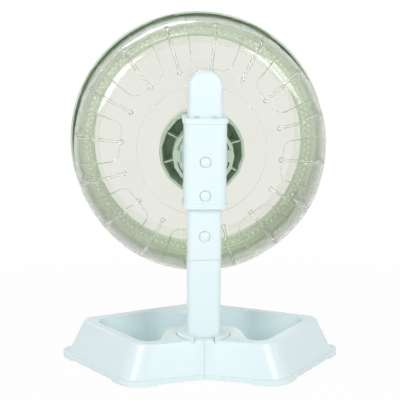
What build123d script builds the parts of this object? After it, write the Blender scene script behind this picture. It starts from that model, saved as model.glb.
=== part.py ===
from build123d import *
import os
from math import cos, pi, radians, sin, tan

os.makedirs("parts", exist_ok=True)

# Sizes are millimetres. X runs across the stand, +Y points to its rear, +Z is up.
# Places along Y are counted from the post's axis, and a piece is shifted as it is saved.

# Front ring of the wheel
RING_R = 130.0
RING_WIDTH = 23.5
RING_T = 2.6
SKIRT_T = 1.8
SKIRT_DEPTH = 8.0
LIP_R = 2.4
BAND_WIDTH = 12.0
BAND_STEP_W = 1.4
BAND_STEP_H = 2.2
SNAP_COUNT = 8
SNAP_ARC = 10.5
SNAP_DEPTH = 0.9

# Clear bowl of the wheel
BOWL_DEPTH = 88.3
BOWL_WALL = 2.2
BOWL_FLANGE_W = 0.8
BOWL_FLANGE_T = 1.6
DRUM_TAPER = 3.6
SHOULDER_R = 28.0
BACK_STEP_R = 62.0
BACK_STEP = 1.0
TREAD_COUNT = 16
TREAD_TURN = 16.2
TREAD_W = 2.4
TREAD_INNER_R = 76.7
TREAD_H_BACK = 1.3
TREAD_H_DRUM = 3.0
TREAD_END_R = 1.7
TREAD_FRONT_GAP = 6.0
PANEL_COUNT = 8
PANEL_HALF_ANGLE = 13.4
PANEL_INNER_X = 77.5
PANEL_CORNER_R = 7.0
PANEL_RECESS = 0.7

# Hub cup and hub cover
HUB_SIDES = 16
HUB_RIM_R = 40.9
HUB_RIM_T = 3.0
HUB_RIM_W = 2.5
HUB_NECK_STEP = 2.2
HUB_WALL = 2.2
HUB_DEPTH = 30.5
HUB_TAPER = 3.0
HUB_FLOOR_T = 2.5
HUB_HOLE_GAP = 0.3
SPOKE_COUNT = 8
SPOKE_T = 1.6
SPOKE_INSET = 2.0
TUBE_WALL = 3.0
TUBE_INSET = 4.0
COVER_R = 40.6
COVER_NOSE_R = 39.5
COVER_LENGTH = 33.6
COVER_WALL = 2.2
COVER_ROUND = 3.5
COVER_SCREW_PCD = 48.0
COVER_SCREW_COUNT = 4
COVER_BOSS_R = 4.0
CAP_R = 12.0
CAP_H = 3.2
CAP_PLUG_R = 9.0

# Ball bearings of the common 8 by 22 by 7 size
BEARING_R = 11.0
BEARING_BORE_R = 4.0
BEARING_W = 7.0
BALL_R = 1.95
BALL_PITCH_R = 7.5
BALL_COUNT = 7
BALL_GAP = 0.05
INNER_LAND_R = 6.1
OUTER_LAND_R = 9.0
CAGE_T = 0.9
CAGE_W = 3.0
SHIELD_T = 0.35
SHIELD_INSET = 0.3
SPACER_L = 6.0
SPACER_R = 5.8
CIRCLIP_T = 1.2
CIRCLIP_BITE = 0.6
CIRCLIP_W = 1.9
CIRCLIP_OPEN = 50.0

# Axle and the bayonet that carries it
AXLE_Z = 200.5
AXLE_GAP = 0.02
AXLE_HEAD_R = 6.5
AXLE_HEAD_T = 3.0
AXLE_SCREW_R = 2.5
AXLE_SCREW_L = 14.0
WASHER_R = 7.5
WASHER_T = 1.2
COLLAR_GAP = 1.7
COLLAR_R = 28.6
COLLAR_WALL = 3.7
COLLAR_DEPTH = 26.0
COLLAR_STRAIGHT = 19.0
COLLAR_CUP = 16.0
COLLAR_NOSE_R = 6.0
COLLAR_SHOULDER_R = 12.0
COLLAR_TURN = 5.0
COLLAR_TO_HUB = 2.0
TAB_HEIGHT = 11.0
TAB_REACH = 3.4
TAB_T = 2.5
PLUG_R = 24.2
PLUG_NECK_R = 19.0
PLUG_DISC_T = 3.0
PLUG_DISC_GAP = 0.4
PLUG_NOTCH_W = 14.0
PLUG_SCREW_PCD = 24.0
PLUG_SCREW_COUNT = 4

# Carriage that slides on the post
CARRIAGE_W = 38.4
CARRIAGE_H = 82.0
CARRIAGE_Z = 157.7
CARRIAGE_BACK_WALL = 4.5
CARRIAGE_FRONT_WALL = 4.0
CARRIAGE_CORNER = 6.0
CARRIAGE_COLLAR_W = 1.2
CARRIAGE_COLLAR_H = 5.3
SLIDE_GAP = 0.3

# Post
POST_W = 31.0
POST_D = 26.0
POST_CORNER = 5.0
POST_TOP_Z = 281.4
POST_ARCH_R = 14.0
POST_WALL = 2.6
POST_BACK_WALL = 4.0
POST_CAP_T = 11.0
JOINT_Z = 109.9
JOINT_GAP = 0.3
SPIGOT_L = 40.0
SPIGOT_GAP = 0.2
SPIGOT_WALL = 2.2
GROOVE_SPACING = 16.0
GROOVE_W = 4.0
GROOVE_DEPTH = 1.2
GROOVE_LENGTH = 84.0
GROOVE_SHOW = 1.6
KEY_GAP = 0.3
KEY_L = 30.0
KEY_Z = 3.5

# Round buttons and the clips behind them
BUTTON_PITCH = 30.6
POST_BUTTON_Z = 131.7
BUTTON_R = 4.5
BUTTON_HOLE_GAP = 0.3
BUTTON_FLANGE_R = 6.0
BUTTON_FLANGE_T = 1.2
BUTTON_PROUD = 1.8
BUTTON_DOME = 1.2
BUTTON_LIP = 0.1
POCKET_DEPTH = 3.0
CLIP_NOSE_R = 3.8
CLIP_NOSE_GAP = 0.4
CLIP_T = 1.4
CLIP_W = 9.0
CLIP_LENGTH = 22.0
CLIP_NOSE_UP = 14.0

# Foot of the post, clamped to the base from below
FOOT_R = 25.0
FOOT_T = 2.6
FOOT_SINK = 2.3
FOOT_FLAT_W = 19.0
FOOT_GAP = 0.4
SOCKET_R = 17.0
SOCKET_WALL = 2.6
SOCKET_GAP = 0.3
BOSS_WALL = 2.6
PLATE_R = 23.0
PLATE_T = 2.5
PLATE_Z = 4.0
PLATE_SCREW_SPACING = 20.0
PLATE_BOSS_R = 3.6

# Base, described by its straight sides at the top edge and how far each spreads to the foot
BASE_H = 36.5
BASE_WALL = 2.4
NEAR_SLOPE = 0.30
SIDE_SLOPE = 1.40
FAR_SLOPE = 0.455
TOP_NOTCH = 18.3
TOP_SIDE = 84.7
TOP_APEX = 104.3
NEAR_SPREAD = 9.8
SIDE_SPREAD = 18.3
FAR_SPREAD = 8.2
NOTCH_R = 40.0
NEAR_R = 25.0
TIP_R = 14.0
TIP_FOOT_R = 20.0
APEX_R = 30.0
TOP_ROUND = 2.2
SEAM_GAP = 0.15
FLANGE_OUT = 1.7
FLANGE_T = 4.2
FLANGE_Z = 2.2
FLANGE_W = 6.0
MOULDED_FOOT_R = 26.0
MOULDED_FOOT_W = 15.0
MOULDED_FOOT_Z = 0.9
PAD_R = 5.5
PAD_T = 1.2

# Trays in the base
RIM_W = 9.5
PLATFORM_NEAR_HALF = 40.5
PLATFORM_FAR_HALF = 32.4
PLATFORM_FAR = 21.0
DIVIDER_HALF = 9.0
TRAY_FLOOR_Z = 8.0
TRAY_TAPER = 8.0
TRAY_FAR_R = 30.0
TRAY_TIP_R = 14.0
TRAY_NEAR_R = 14.0
TRAY_STEP_R = 6.0
PLATFORM_R = 11.0
TRAY_WALL = 2.2

# Places worked out from the sizes above, along Y from the post's axis
CARRIAGE_FRONT_Y = -(POST_D / 2 + SLIDE_GAP + CARRIAGE_FRONT_WALL)
CARRIAGE_BACK_Y = POST_D / 2 + SLIDE_GAP + CARRIAGE_BACK_WALL
COLLAR_REAR_Y = CARRIAGE_FRONT_Y - COLLAR_GAP
COLLAR_FRONT_Y = COLLAR_REAR_Y - COLLAR_DEPTH
HUB_REAR_Y = COLLAR_FRONT_Y - COLLAR_TO_HUB
HUB_FRONT_Y = HUB_REAR_Y - HUB_DEPTH
BOWL_BACK_Y = HUB_REAR_Y - HUB_RIM_T
BOWL_PLANE_Y = BOWL_BACK_Y - BACK_STEP
RING_FRONT_Y = BOWL_PLANE_Y - BOWL_DEPTH
TUBE_REAR_Y = HUB_REAR_Y - TUBE_INSET
REAR_BEARING_Y = TUBE_REAR_Y - CIRCLIP_T - 0.8
FRONT_BEARING_Y = REAR_BEARING_Y - BEARING_W - SPACER_L
STACK_FRONT_Y = FRONT_BEARING_Y - BEARING_W
HUB_NECK_R = HUB_RIM_R - HUB_NECK_STEP
BOWL_HOLE_R = HUB_NECK_R + HUB_HOLE_GAP
BOWL_FLANGE_R = RING_R - SKIRT_T - 0.3
DRUM_FRONT_R = BOWL_FLANGE_R - BOWL_FLANGE_W
DRUM_R = DRUM_FRONT_R - DRUM_TAPER
BOWL_FRONT_Y = RING_FRONT_Y + RING_T
COVER_REAR_Y = BOWL_BACK_Y - BOWL_WALL
COVER_FRONT_Y = COVER_REAR_Y - COVER_LENGTH
LOWER_BUTTON_Z = AXLE_Z - BUTTON_PITCH

# Wheel pieces are drawn about a Z axis and laid over, so that it points to the rear
LAID = Pos(0, 0, AXLE_Z) * Rot(-90, 0, 0)


def turned(*edges):
    """Solid of revolution about Z from a closed outline in radius and height."""
    return revolve(Plane.XZ * make_face(edges), Axis.Z)


def turned_points(*points):
    return turned(Polyline(*points, close=True))


def tube(outer, inner, low, high):
    return turned_points((inner, low), (outer, low), (outer, high), (inner, high))


def disc(radius, low, high):
    return Pos(0, 0, low) * Cylinder(radius, high - low, align=(Align.CENTER, Align.CENTER, Align.MIN))


def sector(inner, outer, low, high, middle, arc):
    """Arc-shaped block about Z."""
    corners = ((inner, low), (outer, low), (outer, high), (inner, high))
    block = Plane.XZ * make_face(Polyline(*corners, close=True))
    return Rot(0, 0, middle - arc / 2) * revolve(block, Axis.Z, revolution_arc=arc)


def prism(sides, radius, low, high, turn=0.0, top_radius=None):
    """Upright prism or pyramid stump whose corners lie on the radius."""
    bottom = Pos(0, 0, low) * Rot(0, 0, turn) * RegularPolygon(radius, sides)
    top = Pos(0, 0, high) * Rot(0, 0, turn) * RegularPolygon(top_radius or radius, sides)
    return loft([bottom.face(), top.face()], ruled=True)


def box(x0, x1, y0, y1, z0, z1):
    return Pos((x0 + x1) / 2, (y0 + y1) / 2, (z0 + z1) / 2) * Box(x1 - x0, y1 - y0, z1 - z0)


def column(width, depth, corner, z0, z1, y=0.0):
    """Upright bar with rounded corners."""
    return Pos(0, y, z0) * extrude(RectangleRounded(width, depth, corner), z1 - z0)


def rearward(shape, x, y, z):
    """Lays a piece that is drawn about Z so that it points to the rear from a place."""
    return Pos(x, y, z) * Rot(-90, 0, 0) * shape


def ring_of(count, start=0.0):
    return [start + 360.0 * i / count for i in range(count)]


def around(shape, count, start=0.0):
    return [Rot(0, 0, angle) * shape for angle in ring_of(count, start)]


# The green front ring, whose skirt hides the bowl's flange and has a pocket for each snap
def front_ring():
    opening = RING_R - RING_WIDTH
    face_y = RING_FRONT_Y + RING_T
    band = opening + BAND_WIDTH
    ring = tube(RING_R, opening + LIP_R, RING_FRONT_Y, face_y)
    ring += tube(RING_R, RING_R - SKIRT_T, RING_FRONT_Y, RING_FRONT_Y + SKIRT_DEPTH)
    ring += tube(band + BAND_STEP_W, band, RING_FRONT_Y, face_y + BAND_STEP_H)
    lip = Pos(opening + LIP_R, 0, RING_FRONT_Y + LIP_R) * Rot(90, 0, 0) * Circle(LIP_R)
    ring += revolve(lip, Axis.Z)
    rear = RING_FRONT_Y + SKIRT_DEPTH
    inner = RING_R - SKIRT_T
    pocket = sector(inner - 0.2, inner + SNAP_DEPTH, face_y, rear + 1, 0, SNAP_ARC)
    for piece in around(pocket, SNAP_COUNT, TREAD_TURN):
        ring -= piece
    outer_edges = ring.edges().filter_by(GeomType.CIRCLE).filter_by(lambda e: abs(e.radius - RING_R) < 0.01)
    return LAID * fillet(outer_edges, SKIRT_T - SNAP_DEPTH - 0.2)


def bowl_section(skin):
    """Outline of the bowl's outer surface moved inwards by the skin, as edges from hub to flange."""
    back = BOWL_BACK_Y - skin
    plane = BOWL_PLANE_Y - skin
    centre_r = DRUM_R - SHOULDER_R
    centre_y = BOWL_PLANE_Y - SHOULDER_R
    bend = SHOULDER_R - skin
    corner = (centre_r + bend * cos(pi / 4), centre_y + bend * sin(pi / 4))
    front = (DRUM_FRONT_R - skin, BOWL_FRONT_Y)
    flat = Polyline((BOWL_HOLE_R, back), (BACK_STEP_R, back), (BACK_STEP_R + 1, plane), (centre_r, plane))
    shoulder = ThreePointArc((centre_r, plane), corner, (DRUM_R - skin, centre_y))
    return [flat, shoulder, Line((DRUM_R - skin, centre_y), front)]


def tread():
    """One radial tread, standing on the bowl's inner surface from near the hub to the front."""
    root = BOWL_WALL - 0.6
    centre_r = DRUM_R - SHOULDER_R
    centre_y = BOWL_PLANE_Y - SHOULDER_R
    end_y = BOWL_FRONT_Y + TREAD_FRONT_GAP
    lean = DRUM_TAPER * (centre_y - end_y) / (centre_y - BOWL_FRONT_Y)
    bend = SHOULDER_R - root
    crest_back = BOWL_PLANE_Y - BOWL_WALL - TREAD_H_BACK
    crest_drum = DRUM_R - BOWL_WALL - TREAD_H_DRUM
    crest_bend = SHOULDER_R - BOWL_WALL - (TREAD_H_BACK + TREAD_H_DRUM) / 2
    foot_mid = (centre_r + bend * cos(pi / 4), centre_y + bend * sin(pi / 4))
    crest_mid = (centre_r + crest_bend * cos(pi / 4), centre_y + crest_bend * sin(pi / 4))
    outline = [
        Line((TREAD_INNER_R, crest_back), (TREAD_INNER_R, BOWL_PLANE_Y - root)),
        Line((TREAD_INNER_R, BOWL_PLANE_Y - root), (centre_r, BOWL_PLANE_Y - root)),
        ThreePointArc((centre_r, BOWL_PLANE_Y - root), foot_mid, (DRUM_R - root, centre_y)),
        Line((DRUM_R - root, centre_y), (DRUM_R - root + lean, end_y)),
        Line((DRUM_R - root + lean, end_y), (crest_drum + lean, end_y + TREAD_H_DRUM / 2)),
        Line((crest_drum + lean, end_y + TREAD_H_DRUM / 2), (crest_drum, centre_y)),
        ThreePointArc((crest_drum, centre_y), crest_mid, (centre_r, crest_back)),
        Line((centre_r, crest_back), (TREAD_INNER_R, crest_back)),
    ]
    blade = extrude(Plane.XZ * make_face(outline), TREAD_W / 2, both=True)
    end = Pos(TREAD_INNER_R, 0, 0) * disc(TREAD_END_R, crest_back, BOWL_PLANE_Y - root)
    return blade + end


def panel_cutter():
    """Skin that is shaved off the bowl's outside to leave one rounded panel a little sunk."""
    low = bowl_section(PANEL_RECESS)
    reach = DRUM_FRONT_R + 4
    stop = BOWL_FRONT_Y + BOWL_FLANGE_T + 1.5
    lid = Polyline((DRUM_FRONT_R - PANEL_RECESS, BOWL_FRONT_Y), (reach, BOWL_FRONT_Y),
                   (reach, BOWL_BACK_Y + 2),
                   (BOWL_HOLE_R, BOWL_BACK_Y + 2), (BOWL_HOLE_R, BOWL_BACK_Y - PANEL_RECESS))
    skin = turned(*low, lid)
    spread = tan(radians(PANEL_HALF_ANGLE))
    far = reach + 10
    plan = make_face(Polyline((PANEL_INNER_X, -PANEL_INNER_X * spread),
                              (PANEL_INNER_X, PANEL_INNER_X * spread),
                              (far, far * spread), (far, -far * spread), close=True))
    inner_corners = plan.vertices().sort_by(Axis.X)[:2]
    plan = fillet(inner_corners, PANEL_CORNER_R)
    wedge = Pos(0, 0, stop) * extrude(plan, BOWL_BACK_Y + 3 - stop)
    return skin & wedge


# The clear bowl, one wall all over, with its treads inside and its panels sunk outside
def wheel_bowl():
    inner = bowl_section(BOWL_WALL)
    outer = bowl_section(0)
    hub_edge = Line((BOWL_HOLE_R, BOWL_BACK_Y), (BOWL_HOLE_R, BOWL_BACK_Y - BOWL_WALL))
    front_edge = Line((DRUM_FRONT_R, BOWL_FRONT_Y), (DRUM_FRONT_R - BOWL_WALL, BOWL_FRONT_Y))
    bowl = turned(*outer, *inner, hub_edge, front_edge)
    for cutter in around(panel_cutter(), PANEL_COUNT, TREAD_TURN + 180.0 / PANEL_COUNT):
        bowl -= cutter
    bowl += tube(BOWL_FLANGE_R, DRUM_FRONT_R - 1, BOWL_FRONT_Y, BOWL_FRONT_Y + BOWL_FLANGE_T)
    hook_rear = BOWL_FRONT_Y + BOWL_FLANGE_T
    hook = sector(DRUM_FRONT_R - 1, BOWL_FLANGE_R + SNAP_DEPTH - 0.3, BOWL_FRONT_Y, hook_rear, 0, SNAP_ARC - 1.0)
    for piece in around(hook, SNAP_COUNT, TREAD_TURN):
        bowl += piece
    for piece in around(tread(), TREAD_COUNT, TREAD_TURN):
        bowl += piece
    return LAID * bowl


# The green hub cup: a sixteen-sided recess with spokes round a bearing tube
def hub_cup():
    turn = TREAD_TURN
    neck_front = HUB_NECK_R - HUB_TAPER
    cup = prism(HUB_SIDES, HUB_RIM_R, BOWL_BACK_Y, HUB_REAR_Y, turn)
    cup += prism(HUB_SIDES, neck_front, HUB_FRONT_Y, BOWL_BACK_Y, turn, HUB_NECK_R)
    floor = HUB_FRONT_Y + HUB_FLOOR_T
    cup -= prism(HUB_SIDES, neck_front - HUB_WALL, floor, HUB_REAR_Y + 0.01, turn, HUB_RIM_R - HUB_RIM_W)
    tube_r = BEARING_R + TUBE_WALL
    cup += disc(tube_r, HUB_FRONT_Y, TUBE_REAR_Y)
    spoke_top = HUB_REAR_Y - SPOKE_INSET
    spoke_end = neck_front - HUB_WALL / 2
    for angle in ring_of(SPOKE_COUNT, turn):
        low = box(tube_r - 1, spoke_end, -SPOKE_T / 2, SPOKE_T / 2, HUB_FRONT_Y + 1, spoke_top)
        cup += Rot(0, 0, angle) * low
        outer = make_face(Polyline((spoke_end - 1, HUB_FRONT_Y + 1), (spoke_end, HUB_FRONT_Y + 1),
                                   (HUB_RIM_R - HUB_RIM_W + 0.5, spoke_top),
                                   (spoke_end - 1, spoke_top), close=True))
        cup += Rot(0, 0, angle) * extrude(Plane.XZ * outer, SPOKE_T / 2, both=True)
    cup -= disc(BEARING_R + 0.02, STACK_FRONT_Y - 0.1, HUB_REAR_Y)
    cup -= disc(OUTER_LAND_R + 0.6, HUB_FRONT_Y - 1, HUB_REAR_Y)
    groove = REAR_BEARING_Y + 0.4
    cup -= disc(BEARING_R + CIRCLIP_BITE, groove - 0.1, groove + CIRCLIP_T + 0.1)
    boss = disc(COVER_BOSS_R, COVER_FRONT_Y + COVER_WALL + 0.1, HUB_FRONT_Y + 0.5)
    pilot = disc(1.3, COVER_FRONT_Y, HUB_FRONT_Y + HUB_FLOOR_T + 0.1)
    for angle in ring_of(COVER_SCREW_COUNT, turn + 22.5):
        place = Rot(0, 0, angle) * Pos(COVER_SCREW_PCD / 2, 0, 0)
        cup += place * boss
        cup -= place * pilot
    return LAID * cup


# The front half of the hub, a shallow cone that holds the bowl against the cup's rim
def hub_cover():
    step = COVER_WALL
    outer = turned_points((0, COVER_FRONT_Y), (COVER_NOSE_R, COVER_FRONT_Y), (COVER_R, COVER_REAR_Y),
                          (0, COVER_REAR_Y))
    nose = outer.edges().filter_by(GeomType.CIRCLE).sort_by(Axis.Z)[0]
    outer = fillet(nose, COVER_ROUND)
    inner = turned_points((0, COVER_FRONT_Y + step), (COVER_NOSE_R - step, COVER_FRONT_Y + step),
                          (COVER_R - step, COVER_REAR_Y + 1), (0, COVER_REAR_Y + 1))
    cover = outer - inner - disc(CAP_PLUG_R + 0.1, COVER_FRONT_Y - 1, COVER_FRONT_Y + 5)
    for angle in ring_of(COVER_SCREW_COUNT, TREAD_TURN + 22.5):
        place = Rot(0, 0, angle) * Pos(COVER_SCREW_PCD / 2, 0, 0)
        cover -= place * disc(1.6, COVER_FRONT_Y - 1, COVER_FRONT_Y + 5)
        cover -= place * disc(3.2, COVER_FRONT_Y - 1, COVER_FRONT_Y + 1.2)
    return LAID * cover


def pan_screw(head_r, head_t, shank_r, length):
    """Screw drawn about Z with the underside of its head at zero and its shank pointing up."""
    head = disc(head_r, -head_t, 0)
    head = fillet(head.edges().sort_by(Axis.Z)[0], head_t * 0.45)
    cross = box(-head_r * 0.55, head_r * 0.55, -0.4, 0.4, -head_t - 1, -head_t * 0.45)
    head = head - cross - Rot(0, 0, 90) * cross
    return head + disc(shank_r, 0, length)


def hub_cover_screws():
    screw = pan_screw(3.0, 1.9, 1.25, HUB_FLOOR_T + COVER_LENGTH - HUB_DEPTH - 1.0 + HUB_RIM_T)
    place = Pos(COVER_SCREW_PCD / 2, 0, COVER_FRONT_Y + 1.2)
    return [LAID * Rot(0, 0, a) * place * screw for a in ring_of(COVER_SCREW_COUNT, TREAD_TURN + 22.5)]


def hub_cap():
    top = COVER_FRONT_Y - CAP_H
    outline = [
        TangentArc((0, top), (CAP_R, COVER_FRONT_Y - 0.6), tangent=(1, 0)),
        Line((CAP_R, COVER_FRONT_Y - 0.6), (CAP_R, COVER_FRONT_Y)),
        Line((CAP_R, COVER_FRONT_Y), (CAP_PLUG_R, COVER_FRONT_Y)),
        Line((CAP_PLUG_R, COVER_FRONT_Y), (CAP_PLUG_R, COVER_FRONT_Y + 4)),
        Line((CAP_PLUG_R, COVER_FRONT_Y + 4), (0, COVER_FRONT_Y + 4)),
        Line((0, COVER_FRONT_Y + 4), (0, top)),
    ]
    return LAID * turned(*outline)


# Ball bearings: races, balls, cage and shields, each drawn from its rear face forwards
def bearing_outer(rear):
    low = rear - BEARING_W
    race = tube(BEARING_R, OUTER_LAND_R, low, rear)
    return LAID * (race - raceway(rear))


def bearing_inner(rear):
    low = rear - BEARING_W
    race = tube(INNER_LAND_R, BEARING_BORE_R, low, rear)
    return LAID * (race - raceway(rear))


def raceway(rear):
    groove = Pos(BALL_PITCH_R, 0, rear - BEARING_W / 2) * Rot(90, 0, 0) * Circle(BALL_R + BALL_GAP)
    return revolve(groove, Axis.Z)


def bearing_balls(rear):
    place = Pos(BALL_PITCH_R, 0, rear - BEARING_W / 2)
    return [LAID * Rot(0, 0, a) * place * Sphere(BALL_R) for a in ring_of(BALL_COUNT)]


def bearing_cage(rear):
    middle = rear - BEARING_W / 2
    cage = tube(BALL_PITCH_R + CAGE_T / 2, BALL_PITCH_R - CAGE_T / 2, middle - CAGE_W / 2, middle + CAGE_W / 2)
    for angle in ring_of(BALL_COUNT):
        cage -= Rot(0, 0, angle) * Pos(BALL_PITCH_R, 0, middle) * Sphere(BALL_R + BALL_GAP)
    return LAID * cage


def bearing_shields(rear):
    reach = INNER_LAND_R + 0.35
    back = tube(OUTER_LAND_R, reach, rear - SHIELD_INSET - SHIELD_T, rear - SHIELD_INSET)
    low = rear - BEARING_W
    front = tube(OUTER_LAND_R, reach, low + SHIELD_INSET, low + SHIELD_INSET + SHIELD_T)
    return [LAID * back, LAID * front]


def bearing_spacer():
    high = REAR_BEARING_Y - BEARING_W
    return LAID * tube(SPACER_R, BEARING_BORE_R + AXLE_GAP, high - SPACER_L, high)


def bearing_circlip():
    outer = BEARING_R + CIRCLIP_BITE - 0.05
    low = REAR_BEARING_Y + 0.4
    clip = tube(outer, outer - CIRCLIP_W, low, low + CIRCLIP_T)
    gap = sector(outer - CIRCLIP_W - 1, outer + 1, low - 1, low + CIRCLIP_T + 1, 90, CIRCLIP_OPEN)
    return LAID * (clip - gap)


# The steel axle, headed inside the bayonet collar and clamped by a screw in front
def axle():
    seat = COLLAR_REAR_Y - COLLAR_CUP
    head = disc(AXLE_HEAD_R, seat, seat + AXLE_HEAD_T)
    shaft = disc(BEARING_BORE_R - AXLE_GAP, STACK_FRONT_Y + 0.2, seat)
    bore = disc(AXLE_SCREW_R, STACK_FRONT_Y - 1, STACK_FRONT_Y + AXLE_SCREW_L + 1)
    return LAID * (head + shaft - bore)


def axle_washer():
    return LAID * tube(WASHER_R, AXLE_SCREW_R + 0.1, STACK_FRONT_Y - WASHER_T, STACK_FRONT_Y)


def axle_screw():
    screw = pan_screw(4.6, 3.0, AXLE_SCREW_R - 0.05, AXLE_SCREW_L)
    return LAID * Pos(0, 0, STACK_FRONT_Y - WASHER_T) * screw


# The green collar that stays still: a cup with two inward tabs, and a nose against the bearing
def bayonet_collar():
    turn = TREAD_TURN + COLLAR_TURN
    straight = COLLAR_REAR_Y - COLLAR_STRAIGHT
    collar = prism(HUB_SIDES, COLLAR_R, straight, COLLAR_REAR_Y, turn)
    collar += prism(HUB_SIDES, COLLAR_SHOULDER_R, COLLAR_FRONT_Y, straight, turn, COLLAR_R)
    collar += disc(COLLAR_NOSE_R, REAR_BEARING_Y, COLLAR_FRONT_Y + 1)
    inner = COLLAR_R - COLLAR_WALL
    collar -= disc(inner, COLLAR_REAR_Y - COLLAR_CUP, COLLAR_REAR_Y + 1)
    collar -= disc(BEARING_BORE_R + 0.02, REAR_BEARING_Y - 1, COLLAR_REAR_Y)
    low = COLLAR_REAR_Y - TAB_T
    reach = inner - TAB_REACH
    bar = box(-COLLAR_R + 2, COLLAR_R - 2, -TAB_HEIGHT / 2, TAB_HEIGHT / 2, low, COLLAR_REAR_Y)
    collar += (bar - disc(reach, low - 1, COLLAR_REAR_Y + 1)) & disc(inner + 1, low, COLLAR_REAR_Y)
    return LAID * collar


# The pale-blue bayonet plug on the carriage: a neck and a disc whose lugs sit behind the tabs
def bayonet_plug():
    disc_rear = COLLAR_REAR_Y - TAB_T - PLUG_DISC_GAP
    disc_front = disc_rear - PLUG_DISC_T
    plug = disc(PLUG_NECK_R, disc_front, CARRIAGE_FRONT_Y) + disc(PLUG_R, disc_front, disc_rear)
    notch = box(-PLUG_NOTCH_W / 2, PLUG_NOTCH_W / 2, PLUG_NECK_R + 0.5, PLUG_R + 1, disc_front - 1, disc_rear + 1)
    plug -= notch
    plug -= Rot(0, 0, 180) * notch
    for angle in ring_of(PLUG_SCREW_COUNT, 45):
        place = Rot(0, 0, angle) * Pos(PLUG_SCREW_PCD / 2, 0, 0)
        plug -= place * disc(1.6, disc_front - 1, CARRIAGE_FRONT_Y + 1)
        plug -= place * disc(3.2, disc_front - 1, disc_front + 2.2)
    return LAID * plug


def plug_screws():
    seat = COLLAR_REAR_Y - TAB_T - PLUG_DISC_GAP - PLUG_DISC_T + 2.2
    length = CARRIAGE_FRONT_Y - seat + CARRIAGE_FRONT_WALL - 1.2
    screw = Pos(PLUG_SCREW_PCD / 2, 0, seat) * pan_screw(3.0, 1.9, 1.45, length)
    return [LAID * Rot(0, 0, a) * screw for a in ring_of(PLUG_SCREW_COUNT, 45)]


# The carriage: a sleeve with a collar at each end, two button pockets and two guide keys
def carriage():
    depth = CARRIAGE_BACK_Y - CARRIAGE_FRONT_Y
    middle = (CARRIAGE_BACK_Y + CARRIAGE_FRONT_Y) / 2
    top = CARRIAGE_Z + CARRIAGE_H
    body = column(CARRIAGE_W, depth, CARRIAGE_CORNER, CARRIAGE_Z, top, middle)
    for low in (CARRIAGE_Z, top - CARRIAGE_COLLAR_H):
        rim = column(CARRIAGE_W + 2 * CARRIAGE_COLLAR_W, depth + 2 * CARRIAGE_COLLAR_W,
                     CARRIAGE_CORNER + CARRIAGE_COLLAR_W, low, low + CARRIAGE_COLLAR_H, middle)
        rim = fillet(rim.edges().group_by(Axis.Z)[0] + rim.edges().group_by(Axis.Z)[-1], 1.1)
        body += rim & box(-60, 60, CARRIAGE_FRONT_Y, 60, low - 1, low + CARRIAGE_COLLAR_H + 1)
    body -= column(POST_W + 2 * SLIDE_GAP, POST_D + 2 * SLIDE_GAP, POST_CORNER + SLIDE_GAP,
                   CARRIAGE_Z - 1, top + 1)
    key_w = GROOVE_W - 2 * KEY_GAP
    inner = POST_D / 2 + SLIDE_GAP
    for side in (-1, 1):
        x = side * GROOVE_SPACING / 2
        low = CARRIAGE_Z + KEY_Z
        tip = POST_D / 2 - GROOVE_DEPTH + 2 * KEY_GAP
        body += box(x - key_w / 2, x + key_w / 2, tip, inner + 0.5, low, low + KEY_L)
    for z in (AXLE_Z, LOWER_BUTTON_Z):
        body -= button_pocket(CARRIAGE_BACK_Y, POST_D / 2 + SLIDE_GAP, z)
    pilot = disc(1.5, CARRIAGE_FRONT_Y - 1, CARRIAGE_FRONT_Y + CARRIAGE_FRONT_WALL - 0.8)
    for angle in ring_of(PLUG_SCREW_COUNT, 45):
        body -= LAID * Rot(0, 0, angle) * Pos(PLUG_SCREW_PCD / 2, 0, 0) * pilot
    return body


def button_pocket(outer_y, inner_y, z):
    """Hole for a button's head with a wider pocket for its flange behind the wall's outer lip."""
    lip = outer_y - (inner_y + POCKET_DEPTH)
    hole = BUTTON_R + BUTTON_HOLE_GAP
    shape = disc(hole, inner_y, outer_y + 1)
    shape += disc(BUTTON_FLANGE_R + BUTTON_HOLE_GAP, inner_y - 0.5, outer_y - lip)
    shape += turned_points((0, outer_y - 0.5), (hole, outer_y - 0.5), (hole + 0.6, outer_y + 0.1),
                           (0, outer_y + 0.1))
    return Pos(0, 0, z) * Rot(-90, 0, 0) * shape


# A round button: domed head, and a flange that keeps it in its pocket
def button(outer_y, inner_y, z):
    flange_top = inner_y + POCKET_DEPTH - BUTTON_LIP
    flange_low = flange_top - BUTTON_FLANGE_T
    edge = outer_y + BUTTON_PROUD - BUTTON_DOME
    outline = [
        Line((0, flange_low), (BUTTON_FLANGE_R, flange_low)),
        Line((BUTTON_FLANGE_R, flange_low), (BUTTON_FLANGE_R, flange_top)),
        Line((BUTTON_FLANGE_R, flange_top), (BUTTON_R, flange_top)),
        Line((BUTTON_R, flange_top), (BUTTON_R, edge)),
        TangentArc((0, edge + BUTTON_DOME), (BUTTON_R, edge), tangent=(1, 0)),
        Line((0, edge + BUTTON_DOME), (0, flange_low)),
    ]
    return Pos(0, 0, z) * Rot(-90, 0, 0) * turned(*outline)


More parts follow.
